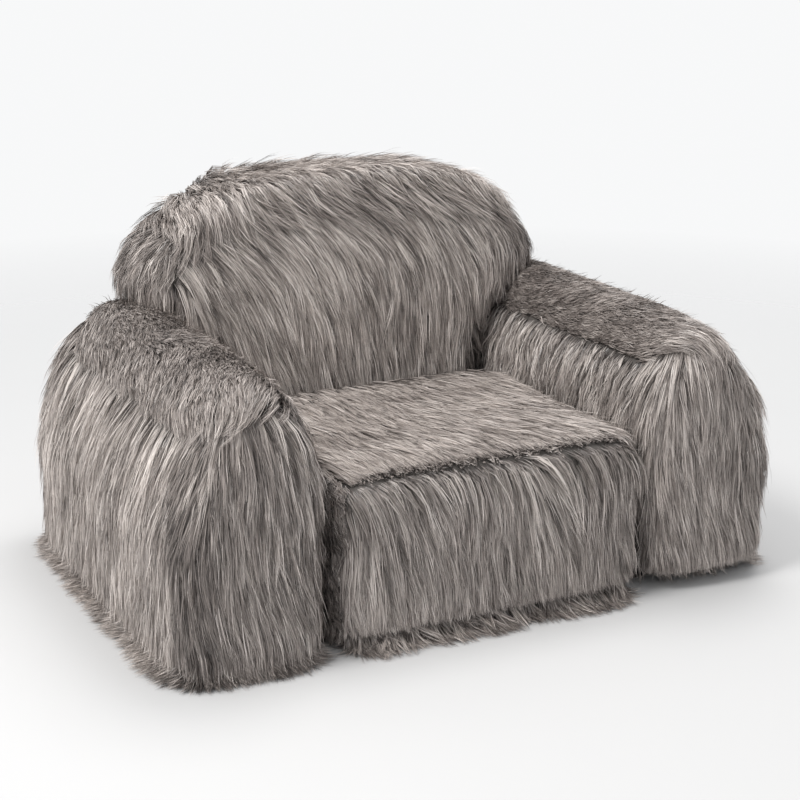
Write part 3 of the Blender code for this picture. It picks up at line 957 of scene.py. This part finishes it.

# What is special to each panel's pile
# the raised tone paints the light from above that falls on the seat's top
seatTopPile = {"comb": combSeatTop, "length": 0.110, "lift": 11, "height": 0.010, "curl": 0.0012,
               "clump": 0.6, "tone": 0.67, "cap": stopAtFrontSeam, "stray": 0.0012, "perLock": 14,
               "wander": 0.10, "lockContrast": 0.085, "strandContrast": 0.10}
seatFrontPile = {"comb": combSeatFront, "cap": stopAtLowerSeam, "weight": offLowerSeam}
# the raised tone paints the extra top light the back's front gets, and the shade setting paints shade lines
# between its tufts
backFrontPile = {"comb": combBackFront, "weight": aboveSeat, "tone": 0.64, "shade": paintedShadeLines,
                 "lockContrast": 0.25}
backRearPile = {"comb": combDown, "weight": aroundZip, "cap": stopAtZip}
backLeftPile = {"comb": towards(-0.30, 0.05, -1.0), "weight": besideArms, "tone": 0.43, **curly}
backRightPile = {**backLeftPile, "comb": towards(0.30, 0.05, -1.0)}
backTopPile = {"comb": combBackTop, "length": 0.100, "lift": 32, "height": 0.013, "curl": 0.004,
               "waves": 1.0, "tone": 0.58, "flyaway": 0.12}
# the low tone paints the shade seen looking into the short end-on pile of the arm's top; the shade setting
# lifts it off the patch
leftTopPile = {"comb": combLeftTop, "length": 0.104, "lift": 34, "height": 0.011, "curl": 0.003,
               "waves": 0.9, "tone": 0.42, "perLock": 8, "clump": 0.6, "shade": lightInside,
               "cap": longOffPatch, "lockContrast": 0.12}
# the low tone paints the shade seen looking into the short end-on pile of the arm's top; the shade setting
# lifts it off the patch
rightTopPile = {"comb": combRightTop, "length": 0.100, "lift": 28, "height": 0.011, "tone": 0.41,
                "perLock": 8, "clump": 0.6, "shade": lightAtEnds, "cap": longOffPatch,
                "lockContrast": 0.12}
# the lowered tone paints the shade of the left arm's front, which gets less light, and the shade setting
# paints shade along its outer edge
leftFrontPile = {"comb": combArmFront, "tone": 0.44, "shade": paintedEdgeShade}
rightFrontPile = {"comb": combArmFront, "tone": 0.54, "cap": stopAtLowerSeam, "weight": offLowerSeam}
outerPile = {"comb": combDown, "length": 0.130, "lift": 21}
innerPile = {"comb": combDown, "weight": overSeatAndAhead, "tone": 0.58, **curly}
rearPile = {"comb": combDown}

# node: form, side, strands of the pile, strands of the top locks, and what is special to the panel
panels = {
    "seat_top_panel": ("seat", "top", 28000, 0, seatTopPile),
    "seat_front_panel": ("seat", "front", 24000, 9000, seatFrontPile),
    "back_front_panel": ("back", "front", 28000, 14000, backFrontPile),
    "back_rear_panel": ("back", "rear", 22000, 0, backRearPile),
    "back_left_gusset": ("back", "left", 12000, 0, backLeftPile),
    "back_right_gusset": ("back", "right", 12000, 0, backRightPile),
    "back_top_gusset": ("back", "top", 24000, 6000, backTopPile),
    "left_arm_top_panel": ("left_arm", "top", 24000, 0, leftTopPile),
    "right_arm_top_panel": ("right_arm", "top", 24000, 0, rightTopPile),
    "left_arm_front_panel": ("left_arm", "front", 22000, 9000, leftFrontPile),
    "right_arm_front_panel": ("right_arm", "front", 22000, 9000, rightFrontPile),
    "left_arm_outer_panel": ("left_arm", "left", 28000, 20000, {**outerPile, "tone": 0.68}),
    "right_arm_outer_panel": ("right_arm", "right", 26000, 6000, {**outerPile, "tone": 0.64}),
    "left_arm_rear_panel": ("left_arm", "rear", 12000, 0, rearPile),
    "right_arm_rear_panel": ("right_arm", "rear", 12000, 0, rearPile),
    "left_arm_inner_panel": ("left_arm", "right", 16000, 0, innerPile),
    "right_arm_inner_panel": ("right_arm", "left", 16000, 0, innerPile),
}

for number, (node, (formName, side, strands, lockStrands, special)) in enumerate(panels.items()):
    form = cushions[formName]
    stem = node.replace("_panel", "")
    pile = growLocks(stem + "_pile", form, side, {**longPile, **special, "strands": strands}, 100 + number)
    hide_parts(node)
    kept = {key: special[key] for key in ("comb", "weight", "cap", "shade") if key in special}
    lighter = special.get("tone", longPile["tone"]) + 0.09
    under = {**longPile, **underPile, **kept, "strands": strands // 2}
    growLocks(stem + "_underpile", form, side, under, 300 + number)
    if lockStrands:
        locks = {**longPile, **topLocks, **kept, "tone": lighter, "strands": lockStrands}
        growLocks(stem + "_locks", form, side, locks, 500 + number)
for number, (formName, side) in enumerate(fringedSides):
    ragged = {**longPile, **fringe, **ownFringe.get(formName, {})}
    growLocks(formName + "_" + side + "_fringe", cushions[formName], side, ragged, 800 + number)
for side, turn in (("left", -1.0), ("right", 1.0)):
    ownEdge = {**longPile, **edgePile, "comb": combSeatSide(turn)}
    growLocks("seat_" + side + "_edge_pile", cushions["seat"], side, ownEdge, 700 + int(turn))
print("pile grown")

# What is under the cover

finishOf = {"lining": liningMaterial, "bag": bagMaterial, "foam": foamMaterial, "base": baseMaterial,
            "tape": tapeMaterial, "nylon": nylonMaterial, "nickel": nickelMaterial, "fur": pileMaterial}
for part in frame["record"]["subparts"]:
    node = frame["nodes"][part["node"]]
    node.data.materials.clear()
    node.data.materials.append(finishOf[part["material_slot"]])
print("frame nodes finished")

# The cloth under the chair, one layer with a rolled hem

baseShape = {"inner": 40, "power": 6.0, "hem": 0.012, "thickness": 0.0016, "wave": 0.0006,
             "waveLength": 0.06, "outlineShare": 0.964}


def makeBase():
    low, high = boxOf("base_panel")
    middle, half = (low + high) / 2, (high - low) / 2
    hem = baseShape["hem"]
    edge = np.array([0.0, 0.04, 0.15, 0.3, 0.5, 0.7, 0.85, 1.0]) * hem

    def lineAlong(reach):
        inner = np.linspace(-1 + hem / reach, 1 - hem / reach, baseShape["inner"])[1:-1]
        return np.concatenate([-1 + edge / reach, inner, (1 - edge / reach)[::-1]])

    acrossLine, deepLine = lineAlong(half[0]), lineAlong(half[1])
    u, v = (grid.ravel() for grid in np.meshgrid(acrossLine, deepLine, indexing="ij"))
    reach = np.maximum(np.abs(u), np.abs(v))
    power = baseShape["power"]
    inside = reach / np.maximum((np.abs(u) ** power + np.abs(v) ** power) ** (1 / power), 1e-6)
    fromEdge = np.minimum((1 - np.abs(u)) * half[0], (1 - np.abs(v)) * half[1])
    along = np.clip(fromEdge / hem, 0.0, 1.0)
    roll = half[2] * np.sqrt(np.maximum(1 - (2 * along - 1) ** 2, 0.0))
    thin = np.where(along > 0.5, baseShape["thickness"] / 2, 0.0)
    top = middle + np.stack([u * inside, v * inside, np.zeros(len(u))], axis=1) * half
    wave = baseShape["wave"] * ripple(top, 71, baseShape["waveLength"])
    top[:, 2] += wave * smoothStep(hem, 3 * hem, fromEdge)
    bottom = top.copy()
    top[:, 2] += np.maximum(roll, thin)
    bottom[:, 2] -= np.maximum(roll, thin)
    columns, rows = len(acrossLine), len(deepLine)
    upper = np.arange(columns * rows).reshape(columns, rows)
    lower = upper + columns * rows
    for rim in ((0, slice(None)), (-1, slice(None)), (slice(None), 0), (slice(None), -1)):
        lower[rim] = upper[rim]
    faces = []
    for a in range(columns - 1):
        for b in range(rows - 1):
            faces.append((upper[a, b], upper[a + 1, b], upper[a + 1, b + 1], upper[a, b + 1]))
            faces.append((lower[a, b + 1], lower[a + 1, b + 1], lower[a + 1, b], lower[a, b]))
    used, compact = np.unique(np.array(faces), return_inverse=True)
    points = np.concatenate([top, bottom])[used]
    base = newMesh("base_cloth", points, compact.reshape(-1, 4), baseMaterial)
    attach(base, "root")
    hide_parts("base_panel")
    return base


makeBase()
print("base cloth sewn")

# Floor, light and camera

room = {"floorTone": 0.505, "reach": 3.4, "solid": 0.22, "sky": (0.935, 0.94, 0.945, 1.0),
        "skyStrength": 1.0}


def makeFloorFinish():
    finish = Finish("studio_floor")
    place = finish.place()
    mottle = finish.noise(place, 1.5)
    tone = room["floorTone"]
    low = (tone - 0.01, tone - 0.008, tone - 0.004, 1.0)
    high = (tone + 0.01, tone + 0.01, tone + 0.012, 1.0)
    colour = finish.mix(mottle, low, high)
    distance = finish.node("ShaderNodeVectorMath", {"operation": "LENGTH"}, {0: place}, output=1)
    fade = finish.ramp(distance / room["reach"],
                       [(0.0, grey(1.0)), (room["solid"], grey(1.0)), (1.0, grey(0.0))])
    return finish.set(Base_Color=colour, Roughness=0.75 + 0.1 * mottle, Alpha=fade)


def makeRoom():
    reach = room["reach"]
    floor = newMesh("floor", [(-reach, -reach, 0), (reach, -reach, 0), (reach, reach, 0),
                              (-reach, reach, 0)],
                    [(0, 1, 2, 3)], makeFloorFinish(), smooth=False)
    world = bpy.data.worlds.new("studio")
    bpy.context.scene.world = world
    world.use_nodes = True
    background = world.node_tree.nodes["Background"]
    background.inputs["Color"].default_value = room["sky"]
    background.inputs["Strength"].default_value = room["skyStrength"]


lamps = {
    "key": {"place": (-1.9, -0.7, 3.2), "size": 1.1, "power": 98.0, "colour": (1.0, 0.985, 0.965)},
    "top": {"place": (0.9, 0.5, 3.6), "size": 2.0, "power": 60.0, "colour": (1.0, 0.99, 0.98)},
}
lampAim = (0.0, 0.0, 0.3)


def makeLamp(name, settings):
    light = bpy.data.lights.new(name, "AREA")
    light.shape = "DISK"
    light.size = settings["size"]
    light.energy = settings["power"]
    light.color = settings["colour"]
    lamp = bpy.data.objects.new(name, light)
    bpy.context.scene.collection.objects.link(lamp)
    lamp.location = settings["place"]
    aim = Vector(lampAim) - lamp.location
    lamp.rotation_euler = aim.to_track_quat("-Z", "Y").to_euler()


view = {"azimuth": -26.81, "elevation": 16.43, "distance": 3.415, "aim": (0.0133, 0.0, 0.308),
        "lens": 80.82}


def makeCamera():
    camera = bpy.data.objects.new("camera", bpy.data.cameras.new("camera"))
    bpy.context.scene.collection.objects.link(camera)
    turn, rise = math.radians(view["azimuth"]), math.radians(view["elevation"])
    back = Vector((math.sin(turn) * math.cos(rise), -math.cos(turn) * math.cos(rise), math.sin(rise)))
    camera.location = Vector(view["aim"]) + back * view["distance"]
    camera.rotation_euler = (-back).to_track_quat("-Z", "Y").to_euler()
    camera.data.lens = view["lens"]
    camera.data.sensor_width = 36.0
    bpy.context.scene.camera = camera


makeRoom()
for lampName, lampSettings in lamps.items():
    makeLamp(lampName, lampSettings)
makeCamera()
bpy.context.scene.view_settings.view_transform = "Standard"
print("room, lamps and camera placed")
